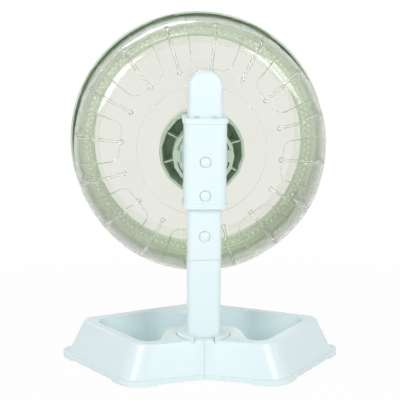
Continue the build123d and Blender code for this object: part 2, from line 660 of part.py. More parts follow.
# A moulded spring clip: a bent strip that leans on the front wall and pushes its nose rearwards
def spring_clip(front_y, back_y, nose_y, z):
    low = z - CLIP_NOSE_UP
    bend = (back_y - front_y) / 2
    centre = (front_y + back_y) / 2
    high = low + CLIP_LENGTH
    inner = bend - CLIP_T
    outline = [
        Line((front_y, high), (front_y, low)),
        ThreePointArc((front_y, low), (centre, low - bend * 0.55), (back_y, low)),
        Line((back_y, low), (back_y, high)),
        Line((back_y, high), (back_y - CLIP_T, high)),
        Line((back_y - CLIP_T, high), (back_y - CLIP_T, low)),
        ThreePointArc((back_y - CLIP_T, low), (centre, low - inner * 0.5), (front_y + CLIP_T, low)),
        Line((front_y + CLIP_T, low), (front_y + CLIP_T, high)),
        Line((front_y + CLIP_T, high), (front_y, high)),
    ]
    strip = extrude(Plane.YZ * make_face(outline), CLIP_W / 2, both=True)
    nose = rearward(disc(CLIP_NOSE_R, back_y - 0.3, nose_y), 0, 0, z)
    return strip + nose


def nose_hole(outer_y, z):
    return rearward(disc(CLIP_NOSE_R + CLIP_NOSE_GAP, 0, outer_y + 1), 0, 0, z)


# The upper post: a hollow bar with an arched top, guide grooves and openings for the noses
def upper_post():
    foot = JOINT_Z + JOINT_GAP / 2
    plan = make_face(Polyline((-POST_W / 2, foot), (POST_W / 2, foot), (POST_W / 2, POST_TOP_Z),
                              (-POST_W / 2, POST_TOP_Z), close=True))
    plan = fillet(plan.vertices().sort_by(Axis.Y)[2:], POST_ARCH_R)
    post = extrude(Plane.XZ * plan, POST_D / 2, both=True)
    rims = [e for e in post.edges() if abs(abs(e.center().Y) - POST_D / 2) < 0.01 and e.center().Z > foot + 1]
    post = fillet(rims, POST_CORNER)
    cavity_d = POST_D - POST_WALL - POST_BACK_WALL
    post -= column(POST_W - 2 * POST_WALL, cavity_d, 2.0, foot - 1, POST_TOP_Z - POST_CAP_T, CAVITY_Y)
    groove_top = CARRIAGE_Z + CARRIAGE_H + GROOVE_SHOW
    for side in (-1, 1):
        x = side * GROOVE_SPACING / 2
        post -= box(x - GROOVE_W / 2, x + GROOVE_W / 2, POST_D / 2 - GROOVE_DEPTH, POST_D / 2 + 1,
                    groove_top - GROOVE_LENGTH, groove_top)
    for z in (AXLE_Z, LOWER_BUTTON_Z):
        post -= nose_hole(POST_D / 2, z)
    post -= button_pocket(POST_D / 2, POST_D / 2 - POST_BACK_WALL, POST_BUTTON_Z)
    return post


# The lower post: spigot above, foot flange with its two crescent ears and round socket below
def lower_post():
    top = JOINT_Z - JOINT_GAP / 2
    post = column(POST_W, POST_D, POST_CORNER, BASE_H, top)
    spigot_w = POST_W - 2 * POST_WALL - 2 * SPIGOT_GAP
    spigot_d = POST_D - POST_WALL - POST_BACK_WALL - 2 * SPIGOT_GAP
    post += column(spigot_w, spigot_d, 1.8, top - 4, JOINT_Z + SPIGOT_L, CAVITY_Y)
    post -= column(spigot_w - 2 * SPIGOT_WALL, spigot_d - 2 * SPIGOT_WALL, 1.0, BASE_H + 8, JOINT_Z + SPIGOT_L + 1,
                   CAVITY_Y)
    post -= nose_hole(POST_D / 2 - POST_BACK_WALL, POST_BUTTON_Z)
    flange = disc(FOOT_R, BASE_H - FOOT_SINK, BASE_H + FOOT_T)
    flange = fillet(flange.edges().sort_by(Axis.Z)[-1], 1.2)
    half = FOOT_FLAT_W / 2
    for sign in (-1, 1):
        low, high = sorted((sign * POST_D / 2, sign * (FOOT_R + 1)))
        flange -= box(-half, half, low, high, BASE_H - FOOT_SINK - 1, BASE_H + FOOT_T + 1)
    post += flange
    bottom = PLATE_Z + PLATE_T + SOCKET_GAP
    post += tube(SOCKET_R, SOCKET_R - SOCKET_WALL, bottom, BASE_H - FOOT_SINK)
    for side in (-1, 1):
        place = Pos(side * PLATE_SCREW_SPACING / 2, 0, 0)
        post += place * disc(PLATE_BOSS_R, bottom, BASE_H - FOOT_SINK)
        post -= place * disc(1.5, bottom - 1, bottom + 14)
    return post


def clamp_plate():
    plate = disc(PLATE_R, PLATE_Z, PLATE_Z + PLATE_T)
    for side in (-1, 1):
        plate -= Pos(side * PLATE_SCREW_SPACING / 2, 0, 0) * disc(1.7, PLATE_Z - 1, PLATE_Z + PLATE_T + 1)
    return plate


def clamp_screws():
    screw = pan_screw(3.2, 1.9, 1.45, PLATE_T + 12)
    return [Pos(side * PLATE_SCREW_SPACING / 2, 0, PLATE_Z) * screw for side in (-1, 1)]


def base_corners(notch, side, apex):
    """Sharp corners of the base's outline, for lines at the given distances from the post."""
    near_x = (SIDE_SLOPE * side - notch) / (NEAR_SLOPE + SIDE_SLOPE)
    tip_x = (SIDE_SLOPE * side + apex) / (FAR_SLOPE + SIDE_SLOPE)
    return (near_x, notch + NEAR_SLOPE * near_x), (tip_x, FAR_SLOPE * tip_x - apex)


def base_outline(spread, inset, tip_r):
    """Outline of the base, at a share of its spread from top to foot, moved inwards by the inset."""
    notch = TOP_NOTCH + NEAR_SPREAD * spread - inset / cos(NEAR_ANGLE)
    side = TOP_SIDE + SIDE_SPREAD * spread - inset / sin(SIDE_ANGLE)
    apex = TOP_APEX + FAR_SPREAD * spread - inset / cos(FAR_ANGLE)
    near, tip = base_corners(notch, side, apex)
    points = [(0, notch), near, tip, (0, -apex), (-tip[0], tip[1]), (-near[0], near[1])]
    radii = [NOTCH_R, NEAR_R, tip_r, APEX_R, tip_r, NEAR_R]
    face = make_face(Polyline(*points, close=True))
    for point, radius in zip(points, radii):
        corner = face.vertices().sort_by_distance((point[0], point[1], 0))[0]
        face = fillet(corner, radius)
    return face


def tray_outline(side):
    """Outline of one tray at its top edge, inside the rim, the platform and the divider."""
    notch = TOP_NOTCH - RIM_W / cos(NEAR_ANGLE)
    flank = TOP_SIDE - RIM_W / sin(SIDE_ANGLE)
    apex = TOP_APEX - RIM_W / cos(FAR_ANGLE)
    near, tip = base_corners(notch, flank, apex)
    points = [
        (PLATFORM_NEAR_HALF, notch + NEAR_SLOPE * PLATFORM_NEAR_HALF),
        (PLATFORM_FAR_HALF, -PLATFORM_FAR),
        (DIVIDER_HALF, -PLATFORM_FAR),
        (DIVIDER_HALF, FAR_SLOPE * DIVIDER_HALF - apex),
        tip,
        near,
    ]
    radii = [TRAY_STEP_R, PLATFORM_R, TRAY_STEP_R, TRAY_FAR_R, TRAY_TIP_R, TRAY_NEAR_R]
    face = make_face(Polyline(*[(side * x, y) for x, y in points], close=True))
    for point, radius in zip(points, radii):
        corner = face.vertices().sort_by_distance((side * point[0], point[1], 0))[0]
        face = fillet(corner, radius)
    return face


def tray_solid(side, skin):
    """The tray's hollow, or with a skin the block that holds it."""
    plan = tray_outline(side)
    if skin:
        plan = offset(plan, skin)
    depth = BASE_H - TRAY_FLOOR_Z + skin
    solid = Pos(0, 0, BASE_H) * extrude(plan, -depth, taper=TRAY_TAPER)
    return solid


# One half of the base: flared walls, foot flange, tray, platform and half of the post's socket
def base_half(side):
    foot_z = FLANGE_Z + FLANGE_T
    top = Pos(0, 0, BASE_H) * base_outline(0, 0, TIP_R)
    wall_foot = Pos(0, 0, foot_z) * base_outline(1, 0, TIP_FOOT_R)
    outer = loft([wall_foot.face(), top.face()], ruled=True)
    outer = fillet(outer.faces().sort_by(Axis.Z)[-1].edges(), TOP_ROUND)
    inner_top = Pos(0, 0, BASE_H - BASE_WALL) * base_outline(0, BASE_WALL, TIP_R)
    inner_foot = Pos(0, 0, foot_z - 0.01) * base_outline(1, BASE_WALL, TIP_FOOT_R)
    hollow = loft([inner_foot.face(), inner_top.face()], ruled=True)
    boss_r = SOCKET_R + SOCKET_GAP + BOSS_WALL
    boss_z = PLATE_Z + PLATE_T
    body = outer - (hollow - tray_solid(side, TRAY_WALL) - disc(boss_r, boss_z, BASE_H))
    body += base_flange()
    body += seam_wall() & (outer + Pos(0, 0, FLANGE_Z) * extrude(base_outline(1, 0, TIP_FOOT_R), FLANGE_T))
    foot_band = base_outline(1, -FLANGE_OUT, TIP_R) - base_outline(1, MOULDED_FOOT_W, TIP_R)
    for x, y in foot_places(side):
        patch = foot_band & (Pos(x, y) * Circle(MOULDED_FOOT_R))
        body += Pos(0, 0, MOULDED_FOOT_Z) * extrude(patch, FLANGE_Z + FLANGE_T / 2 - MOULDED_FOOT_Z)
    body -= tray_solid(side, 0)
    body -= disc(SOCKET_R + SOCKET_GAP, 0, BASE_H + 1)
    body -= disc(PLATE_R + 0.5, 0, boss_z)
    body -= disc(FOOT_R + FOOT_GAP, BASE_H - FOOT_SINK, BASE_H + 1)
    body += foot_keys() & outer
    for x, y in pad_places(side):
        body -= Pos(x, y) * disc(PAD_R + 0.1, 0, PAD_T)
    half = box(*sorted((side * SEAM_GAP / 2, side * 200)), -200, 200, 0, BASE_H + 20)
    return body & half


def base_flange():
    """The rim round the foot of the walls, with its rounded ears beyond the tips."""
    ears = base_outline(1, -FLANGE_OUT, TIP_R) - base_outline(1, FLANGE_W, TIP_R)
    ledge = base_outline(1, 0, TIP_FOOT_R) - base_outline(1, FLANGE_W, TIP_FOOT_R)
    return Pos(0, 0, FLANGE_Z) * (extrude(ears, FLANGE_T) + extrude(ledge, FLANGE_T))


def seam_wall():
    """Both halves' upright walls at the seam."""
    far = -(TOP_APEX + FAR_SPREAD - 1)
    near = TOP_NOTCH + NEAR_SPREAD - 1
    return box(-BASE_WALL, BASE_WALL, far, near, FLANGE_Z, BASE_H - BASE_WALL / 2)


def foot_keys():
    """Two raised keys that fill the gaps between the ears of the post's foot flange."""
    half = FOOT_FLAT_W / 2 - FOOT_GAP
    post_side = POST_D / 2 + FOOT_GAP
    far = FOOT_R + FOOT_GAP + 1
    ledge_z = BASE_H - FOOT_SINK + SOCKET_GAP
    key = box(-half, half, SOCKET_R + SOCKET_GAP, far, BASE_H - FOOT_SINK - 1, BASE_H)
    key += box(-half, half, post_side, far, ledge_z, BASE_H)
    return key + Rot(0, 0, 180) * key


def foot_places(side):
    """Centres of the moulded feet on one half: near corner, tip and beside the far point."""
    near, tip = base_corners(TOP_NOTCH + NEAR_SPREAD, TOP_SIDE + SIDE_SPREAD, TOP_APEX + FAR_SPREAD)
    return [(side * near[0], near[1]), (side * tip[0], tip[1]), (side * 30.0, FAR_SLOPE * 30.0 - TOP_APEX - FAR_SPREAD)]


def pad_places(side):
    """Centres of the rubber pads, set in from each moulded foot."""
    near, tip = base_corners(TOP_NOTCH + NEAR_SPREAD, TOP_SIDE + SIDE_SPREAD, TOP_APEX + FAR_SPREAD)
    far = (30.0, FAR_SLOPE * 30.0 - TOP_APEX - FAR_SPREAD)
    inward = [(near[0] - 4.5, near[1] - 12.0), (tip[0] - 19.0, tip[1] + 2.5), (far[0], far[1] + 7.5)]
    return [(side * x, y) for x, y in inward]


def foot_pads():
    return [Pos(x, y) * disc(PAD_R, 0, PAD_T) for side in (-1, 1) for x, y in pad_places(side)]


def save(name, shape):
    """Writes one piece, or a group of like pieces, shifted so that the whole is centred."""
    group = shape if isinstance(shape, list) else [shape]
    solids = [Pos(0, POST_Y, 0) * solid for item in group for solid in item.solids()]
    whole = solids[0] if len(solids) == 1 else Compound(children=solids)
    whole.label = name
    export_step(whole, f"parts/{name}.step")


# Angles of the base's sides and the middle of the post's cavity
NEAR_ANGLE = Vector(1, NEAR_SLOPE).get_angle(Vector(1, 0)) * pi / 180
SIDE_ANGLE = Vector(1, SIDE_SLOPE).get_angle(Vector(1, 0)) * pi / 180
FAR_ANGLE = Vector(1, FAR_SLOPE).get_angle(Vector(1, 0)) * pi / 180
CAVITY_Y = (POST_WALL - POST_BACK_WALL) / 2

# The whole object is centred on its own box, from the ring's front face to the base's near corners
BASE_NEAR_Y = base_outline(1, -FLANGE_OUT, TIP_R).bounding_box().max.Y
POST_Y = -(RING_FRONT_Y + BASE_NEAR_Y) / 2

CARRIAGE_INNER_Y = POST_D / 2 + SLIDE_GAP
POST_INNER_Y = POST_D / 2 - POST_BACK_WALL
SPIGOT_INNER_Y = POST_INNER_Y - SPIGOT_GAP - SPIGOT_WALL
POST_FRONT_INNER_Y = POST_WALL - POST_D / 2
FLANGE_UNDER = POCKET_DEPTH - BUTTON_LIP - BUTTON_FLANGE_T

save("base_left", base_half(1))
save("base_right", base_half(-1))
save("foot_pads", foot_pads())
save("lower_post", lower_post())
save("clamp_plate", clamp_plate())
save("clamp_screws", clamp_screws())
save("upper_post", upper_post())
save("post_button", button(POST_D / 2, POST_INNER_Y, POST_BUTTON_Z))
save("post_lock_clip", spring_clip(POST_FRONT_INNER_Y + SPIGOT_GAP + SPIGOT_WALL, SPIGOT_INNER_Y - 0.4,
                                   POST_INNER_Y + FLANGE_UNDER - 0.1, POST_BUTTON_Z))
save("carriage", carriage())
save("upper_height_button", button(CARRIAGE_BACK_Y, CARRIAGE_INNER_Y, AXLE_Z))
save("lower_height_button", button(CARRIAGE_BACK_Y, CARRIAGE_INNER_Y, LOWER_BUTTON_Z))
save("upper_height_clip", spring_clip(POST_FRONT_INNER_Y, POST_INNER_Y - 0.5,
                                      CARRIAGE_INNER_Y + FLANGE_UNDER - 0.1, AXLE_Z))
save("lower_height_clip", spring_clip(POST_FRONT_INNER_Y, POST_INNER_Y - 0.5,
                                      CARRIAGE_INNER_Y + FLANGE_UNDER - 0.1, LOWER_BUTTON_Z))
save("bayonet_plug", bayonet_plug())
save("plug_screws", plug_screws())
save("bayonet_collar", bayonet_collar())
save("axle", axle())
save("axle_washer", axle_washer())
save("axle_screw", axle_screw())
save("bearing_spacer", bearing_spacer())
save("bearing_circlip", bearing_circlip())
for place, rear_y in (("rear", REAR_BEARING_Y), ("front", FRONT_BEARING_Y)):
    save(f"{place}_bearing_inner", bearing_inner(rear_y))
    save(f"{place}_bearing_outer", bearing_outer(rear_y))
    save(f"{place}_bearing_balls", bearing_balls(rear_y))
    save(f"{place}_bearing_cage", bearing_cage(rear_y))
    save(f"{place}_bearing_shields", bearing_shields(rear_y))
save("hub_cup", hub_cup())
save("hub_cover", hub_cover())
save("hub_cover_screws", hub_cover_screws())
save("hub_cap", hub_cap())
save("wheel_bowl", wheel_bowl())
save("front_ring", front_ring())
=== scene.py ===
from math import atan2, ceil, cos, pi, radians, sin

import bpy
from mathutils import Matrix, Vector


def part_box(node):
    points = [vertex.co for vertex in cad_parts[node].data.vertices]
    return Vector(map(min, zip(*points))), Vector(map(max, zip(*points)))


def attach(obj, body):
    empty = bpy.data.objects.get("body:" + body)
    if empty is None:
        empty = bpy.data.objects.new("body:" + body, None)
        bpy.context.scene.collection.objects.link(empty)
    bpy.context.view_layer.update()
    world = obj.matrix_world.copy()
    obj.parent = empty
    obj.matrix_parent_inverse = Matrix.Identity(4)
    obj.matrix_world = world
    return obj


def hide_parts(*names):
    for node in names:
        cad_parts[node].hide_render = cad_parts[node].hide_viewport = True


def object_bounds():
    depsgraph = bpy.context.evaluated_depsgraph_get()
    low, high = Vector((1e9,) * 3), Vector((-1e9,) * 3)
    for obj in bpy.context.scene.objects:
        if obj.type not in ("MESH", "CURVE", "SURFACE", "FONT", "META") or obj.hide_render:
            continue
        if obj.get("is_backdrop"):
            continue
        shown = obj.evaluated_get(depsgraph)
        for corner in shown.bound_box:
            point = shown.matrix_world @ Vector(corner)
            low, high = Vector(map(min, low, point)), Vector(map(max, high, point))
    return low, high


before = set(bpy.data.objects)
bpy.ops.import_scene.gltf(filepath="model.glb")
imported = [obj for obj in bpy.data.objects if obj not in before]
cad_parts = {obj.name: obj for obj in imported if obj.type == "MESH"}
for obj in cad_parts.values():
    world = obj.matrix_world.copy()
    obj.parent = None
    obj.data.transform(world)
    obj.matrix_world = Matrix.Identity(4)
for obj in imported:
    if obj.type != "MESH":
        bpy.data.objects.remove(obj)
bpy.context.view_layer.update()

# Studio: a white sheet of paper on a table, soft daylight all round, two softboxes behind the stand
# and one in front of the wheel. The camera stands about a metre behind the wheel, a little above
# its axle, and looks slightly down.
POST_Y = (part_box("upper_post")[0].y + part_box("upper_post")[1].y) / 2
CAMERA_PLACE = (0.05136, POST_Y + 0.9659, 0.349)
CAMERA_YAW = radians(2.814)
CAMERA_PITCH = radians(10.878)
CAMERA_ROLL = radians(0.442)
CAMERA_LENS = 97.215
SENSOR_WIDTH = 36.0
CAMERA_REACH = (0.01, 50.0)

scene = bpy.context.scene
collection = scene.collection
scene.view_settings.view_transform = "Standard"

flat = cos(CAMERA_PITCH)
ahead = Vector((-sin(CAMERA_YAW) * flat, -cos(CAMERA_YAW) * flat, -sin(CAMERA_PITCH)))
level = ahead.cross(Vector((0, 0, 1))).normalized()
upright = level.cross(ahead)
right = cos(CAMERA_ROLL) * level + sin(CAMERA_ROLL) * upright
up = cos(CAMERA_ROLL) * upright - sin(CAMERA_ROLL) * level
camera_turn = Matrix((right, up, -ahead)).transposed().to_4x4()
camera_data = bpy.data.cameras.new("studio_camera")
camera_data.lens = CAMERA_LENS
camera_data.sensor_width = SENSOR_WIDTH
camera_data.clip_start, camera_data.clip_end = CAMERA_REACH
camera = bpy.data.objects.new("studio_camera", camera_data)
camera.matrix_world = Matrix.Translation(CAMERA_PLACE) @ camera_turn
collection.objects.link(camera)
scene.camera = camera


def softbox(name, place, target, width, height, power):
    """A square-edged area lamp that faces a target."""
    data = bpy.data.lights.new(name, "AREA")
    data.shape = "RECTANGLE"
    data.size = width
    data.size_y = height
    data.energy = power
    lamp = bpy.data.objects.new(name, data)
    place = Vector(place)
    lamp_turn = (Vector(target) - place).to_track_quat("-Z", "Y").to_matrix().to_4x4()
    lamp.matrix_world = Matrix.Translation(place) @ lamp_turn
    collection.objects.link(lamp)


softbox("softbox_left", place=(0.70, 0.95, 0.66), target=(0, 0, 0.17),
        width=0.42, height=0.62, power=4.6)
softbox("softbox_right", place=(-0.68, 0.97, 0.70), target=(0, 0, 0.17),
        width=0.42, height=0.62, power=4.6)
softbox("softbox_front", place=(0.35, -1.3, 1.1), target=(0, 0, 0.15),
        width=0.7, height=0.5, power=4.5)


class Wire:
    """A socket in a node tree, whose arithmetic adds Math nodes."""

    def __init__(self, graph, socket):
        self.graph = graph
        self.socket = socket

    def twin(self, name):
        """Another output of the same node."""
        return Wire(self.graph, self.socket.node.outputs[name])

    def math(self, operation, *values):
        return self.graph.node("ShaderNodeMath", {"operation": operation}, dict(enumerate(values)))

    def __add__(self, other):
        return self.math("ADD", self, other)

    __radd__ = __add__

    def __sub__(self, other):
        return self.math("SUBTRACT", self, other)

    def __rsub__(self, other):
        return self.math("SUBTRACT", other, self)

    def __mul__(self, other):
        return self.math("MULTIPLY", self, other)

    __rmul__ = __mul__

    def __truediv__(self, other):
        return self.math("DIVIDE", self, other)

    def __rtruediv__(self, other):
        return self.math("DIVIDE", other, self)

    def __pow__(self, other):
        return self.math("POWER", self, other)

    def __abs__(self):
        return self.math("ABSOLUTE", self)

    def least(self, other):
        return self.math("MINIMUM", self, other)

    def most(self, other):
        return self.math("MAXIMUM", self, other)

    def sin(self):
        return self.math("SINE", self)

    def cos(self):
        return self.math("COSINE", self)

    def turn(self, across):
        """Angle of a point that is this high and this far across."""
        return self.math("ARCTAN2", self, across)

    def wrap(self, low, high):
        """The value brought between low and high by whole turns."""
        return self.math("WRAP", self, high, low)

    def smooth(self, low, high):
        """0 below low and 1 above high, with an eased step between."""
        return self.graph.node("ShaderNodeMapRange", {"interpolation_type": "SMOOTHSTEP"},
                               {"Value": self, "From Min": low, "From Max": high})


class Graph:
    """A node tree, filled by one method that the others call."""

    def __init__(self, tree):
        self.tree = tree

    def node(self, kind, settings=None, sockets=None, out=0):
        """Adds a node: settings first, then each socket's value, wire or list of wires."""
        made = self.tree.nodes.new(kind)
        for key, value in (settings or {}).items():
            setattr(made, key, value)
        for key, value in (sockets or {}).items():
            if isinstance(value, Wire):
                value = [value]
            if isinstance(value, list):
                for wire in value:
                    self.tree.links.new(wire.socket, made.inputs[key])
            else:
                made.inputs[key].default_value = value
        return Wire(self, made.outputs[out]) if made.outputs else None

    def parts(self, vector):
        """The x, y and z of a vector."""
        first = self.node("ShaderNodeSeparateXYZ", {}, {"Vector": vector}, "X")
        return first, first.twin("Y"), first.twin("Z")

    def mix(self, factor, first, second):
        """Blend of two colours."""
        return self.node("ShaderNodeMix", {"data_type": "RGBA"},
                         {0: factor, 6: first, 7: second}, 2)

    def noise(self, place, density, detail=2.0, stretch=None):
        """Even noise on object coordinates, as a factor, with this many cells in a metre."""
        if stretch:
            place = self.node("ShaderNodeMapping", {}, {"Vector": place, "Scale": stretch})
        return self.node("ShaderNodeTexNoise", {},
                         {"Vector": place, "Scale": density, "Detail": detail})

    def bump(self, height, strength, depth):
        """Normals of a fine relief."""
        return self.node("ShaderNodeBump", {},
                         {"Height": height, "Strength": strength, "Distance": depth})

    def principled(self, sockets):
        """The shader of a solid surface."""
        return self.node("ShaderNodeBsdfPrincipled", {}, sockets)

    def blend(self, factor, first, second):
        """Blend of two shaders."""
        return self.node("ShaderNodeMixShader", {}, {0: factor, 1: first, 2: second})


def new_material(name):
    """A fresh material, with its graph and its object coordinates."""
    material = bpy.data.materials.new(name)
    material.use_nodes = True
    material.node_tree.nodes.clear()
    graph = Graph(material.node_tree)
    return material, graph, graph.node("ShaderNodeTexCoord", out="Object")


def end_material(graph, shader):
    """Makes a shader the material's surface."""
    graph.node("ShaderNodeOutputMaterial", {}, {"Surface": shader})


def seen_directly(graph):
    """1 for rays that show the background itself: camera, mirror and glass rays."""
    camera_ray = graph.node("ShaderNodeLightPath", out="Is Camera Ray")
    glossy_ray = camera_ray.twin("Is Glossy Ray")
    return (camera_ray + glossy_ray + camera_ray.twin("Is Transmission Ray")).least(1.0)


WHITE = (1, 1, 1, 1)
SKY_LIGHT = 0.5
PAPER_COLOUR = (0.93, 0.93, 0.93, 1)
PAPER_GLOW = 0.94
PAPER_SHADE_REACH = (0.16, 0.7)
SHEET_HALF = 5

world = bpy.data.worlds.new("studio_daylight")
world.use_nodes = True
world.node_tree.nodes.clear()
sky = Graph(world.node_tree)
sky_strength = SKY_LIGHT + (1.0 - SKY_LIGHT) * seen_directly(sky)
sky_shader = sky.node("ShaderNodeBackground", {}, {"Color": WHITE, "Strength": sky_strength})
sky.node("ShaderNodeOutputWorld", {}, {"Surface": sky_shader})
scene.world = world

paper, graph, place = new_material("white_paper")
paper_x, paper_y = graph.parts(place)[:2]
far_off = ((paper_x * paper_x + paper_y * paper_y) ** 0.5).smooth(*PAPER_SHADE_REACH)
paper_glow = seen_directly(graph) * (PAPER_GLOW + (1.0 - PAPER_GLOW) * far_off)
paper_matt = graph.principled({"Base Color": PAPER_COLOUR, "Roughness": 0.9})
paper_lit = graph.node("ShaderNodeEmission", {}, {"Color": WHITE, "Strength": 1.0})
end_material(graph, graph.blend(paper_glow, paper_matt, paper_lit))

paper_mesh = bpy.data.meshes.new("paper_sheet")
paper_mesh.from_pydata([(-SHEET_HALF, -SHEET_HALF, 0), (SHEET_HALF, -SHEET_HALF, 0),
                        (SHEET_HALF, SHEET_HALF, 0), (-SHEET_HALF, SHEET_HALF, 0)],
                       [], [(0, 1, 2, 3)])
paper_mesh.materials.append(paper)
paper_sheet = bpy.data.objects.new("paper_sheet", paper_mesh)
collection.objects.link(paper_sheet)
paper_sheet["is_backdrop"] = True


# Stand: base halves, two-piece post, sliding carriage, bayonet plug and three round buttons. Each
# is one injection moulding in pale ice-blue ABS from a polished tool, with faint flow marks. The
# base halves meet at the seam under the post, and a plate clamps them to it from below.
DRIFT_DENSITY = 11.0
WISP_DENSITY = 34.0
WISP_STRETCH = (1.0, 1.0, 0.35)
POLISH_DENSITY = 150.0
RUB_DENSITY = 900.0
RUB_STRETCH = (1.0, 1.0, 0.2)
PEEL_DENSITY = 420.0
PEEL_DEPTH = 0.000012
PLASTIC_IOR = 1.5


def moulded_plastic(name, colour, shade, roughness):
    """Glossy moulded plastic: slow colour drift, uneven polish and a very fine orange peel."""
    material, graph, place = new_material(name)
    drift = graph.noise(place, DRIFT_DENSITY, 3.0)
    wisps = graph.noise(place, WISP_DENSITY, 4.0, WISP_STRETCH)
    tone = (0.65 * drift + 0.35 * wisps).smooth(0.35, 0.65)
    polish = graph.noise(place, POLISH_DENSITY, 3.0)
    rub = graph.noise(place, RUB_DENSITY, 2.0, RUB_STRETCH)
    peel = graph.noise(place, PEEL_DENSITY)
    end_material(graph, graph.principled({
        "Base Color": graph.mix(tone, colour + (1,), shade + (1,)),
        "Roughness": roughness + 0.09 * (polish - 0.5) + 0.05 * (rub - 0.5),
        "Normal": graph.bump(peel, 0.35, PEEL_DEPTH),
        "IOR": PLASTIC_IOR,
        "Subsurface Weight": 0.08,
        "Subsurface Radius": (0.6, 0.8, 1.0),
        "Subsurface Scale": 0.003,
    }))
    return material


def finish_nodes(material, *nodes):
    """Gives the own surfaces of some CAD nodes their finish."""
    for node in nodes:
        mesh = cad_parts[node].data
        for index in range(len(mesh.materials)):
            mesh.materials[index] = material


ice_blue = moulded_plastic("ice_blue_abs", (0.79, 0.905, 0.925), (0.765, 0.888, 0.912), 0.22)
finish_nodes(ice_blue, "base_left", "base_right", "lower_post", "upper_post", "carriage",
             "bayonet_plug", "upper_height_button", "lower_height_button", "post_button")


# Spring clips and foot pads: the clips behind the buttons are moulded in natural acetal and hook
# into the post, and the soft rubber pads are glued into the moulded feet.
SPECKLE_DENSITY = 1400.0
SPECKLE_DEPTH = 0.00005

acetal = moulded_plastic("natural_acetal", (0.83, 0.85, 0.84), (0.80, 0.82, 0.81), 0.42)
finish_nodes(acetal, "upper_height_clip", "lower_height_clip", "post_lock_clip")

pad_rubber, graph, place = new_material("foot_rubber")
speckle = graph.noise(place, SPECKLE_DENSITY, 3.0)
end_material(graph, graph.principled({
    "Base Color": graph.mix(speckle, (0.52, 0.56, 0.56, 1), (0.60, 0.64, 0.64, 1)),
    "Roughness": 0.62 + 0.2 * speckle,
    "Normal": graph.bump(speckle, 0.6, SPECKLE_DEPTH),
}))
finish_nodes(pad_rubber, "foot_pads")


# Axle, bearings and small steel: ground and polished races and balls, a turned axle, and
# zinc-plated screws, washer, clip and clamp plate. The bearings' cages are natural nylon.
TOOL_MARK_DENSITY = 260.0
TOOL_MARK_DEPTH = 0.00001
CLOUD_DENSITY = 55.0
TURNED = (1.0, 18.0, 1.0)
ROLLED = (1.0, 3.0, 1.0)


def steel(name, colour, shade, roughness, lay):
    """Steel whose fine tool marks run along the lay direction of object space."""
    material, graph, place = new_material(name)
    marks = graph.noise(place, TOOL_MARK_DENSITY, 4.0, lay)
    cloud = graph.noise(place, CLOUD_DENSITY, 3.0)
    tone = (0.6 * marks + 0.4 * cloud).smooth(0.3, 0.7)
    end_material(graph, graph.principled({
        "Base Color": graph.mix(tone, colour + (1,), shade + (1,)),
        "Metallic": 1.0,
        "Roughness": roughness + 0.12 * (marks - 0.5) + 0.08 * (cloud - 0.5),
        "Normal": graph.bump(marks, 0.25, TOOL_MARK_DEPTH),
    }))
    return material


ground_steel = steel("ground_bearing_steel", (0.70, 0.71, 0.72), (0.60, 0.61, 0.63), 0.16, TURNED)
zinc_plate = steel("bright_zinc_plate", (0.66, 0.68, 0.70), (0.56, 0.58, 0.61), 0.30, ROLLED)
nylon = moulded_plastic("natural_nylon", (0.74, 0.70, 0.58), (0.70, 0.66, 0.54), 0.45)

finish_nodes(ground_steel, "axle", "bearing_spacer", "rear_bearing_inner", "front_bearing_inner",
             "rear_bearing_outer", "front_bearing_outer", "rear_bearing_balls",
             "front_bearing_balls")
finish_nodes(zinc_plate, "axle_washer", "axle_screw", "plug_screws", "hub_cover_screws",
             "bearing_circlip", "rear_bearing_shields", "front_bearing_shields", "clamp_plate",
             "clamp_screws")
finish_nodes(nylon, "rear_bearing_cage", "front_bearing_cage")


# Hub and bayonet collar: sage-green ABS. The cup and the collar have sixteen flat sides, the cup
# has eight spokes round its bearing tube, and the cover screws on from the front and clamps the
# bowl. A cap closes the cover.
sage_green = moulded_plastic("sage_green_abs", (0.585, 0.70, 0.555), (0.56, 0.675, 0.53), 0.24)
finish_nodes(sage_green, "bayonet_collar", "hub_cup", "hub_cover", "hub_cap")


# Wheel bowl: one clear moulding in polystyrene, 2.2 mm thick, with sixteen treads inside and eight
# shallow, round-cornered panels pressed into its outside. It lies on the hub cup's rim, and its
# front flange sits in the ring's skirt.
MM = 0.001
WHEEL_Z = 0.2005

# Sizes are in millimetres and degrees, and depths run from the middle of the post, minus to the
# front.
WALL = 2.2
HOLE_R = 39.0
BACK_Y = -50.0
STEP_R = 62.0
STEP_SLOPE = (-0.4, 0.8)
PLANE_Y = -51.0
SHOULDER_R = 28.0
DRUM_R = 123.5
DRUM_FRONT_R = 127.1
FRONT_Y = -136.7
FLANGE_R = 127.9
FLANGE_T = 1.6
FLANGE_EDGE = 0.2
FLANGE_ROOT = 0.3

TREADS = 16
TREAD_PITCH = 360 / TREADS
FIRST_TREAD = 16.2
TREAD_START = 76.7
TREAD_END_R = 1.7
TREAD_HALF = 0.9
TREAD_BACK_H = 1.7
TREAD_DRUM_H = 3.0
TREAD_GROWS = (56.0, 84.0)
TREAD_RUNS_OUT = (127.0, 131.0)

PANEL_START = 77.5
PANEL_HALF = 13.4
PANEL_CORNER = 7.0
PANEL_EDGE = 0.8
PANEL_RECESS = 1.3
PANEL_RECESS_DRUM = 0.35
PANEL_SHALLOWS = (98.0, 121.0)
PANEL_RUNS_OUT = (131.0, 133.2)

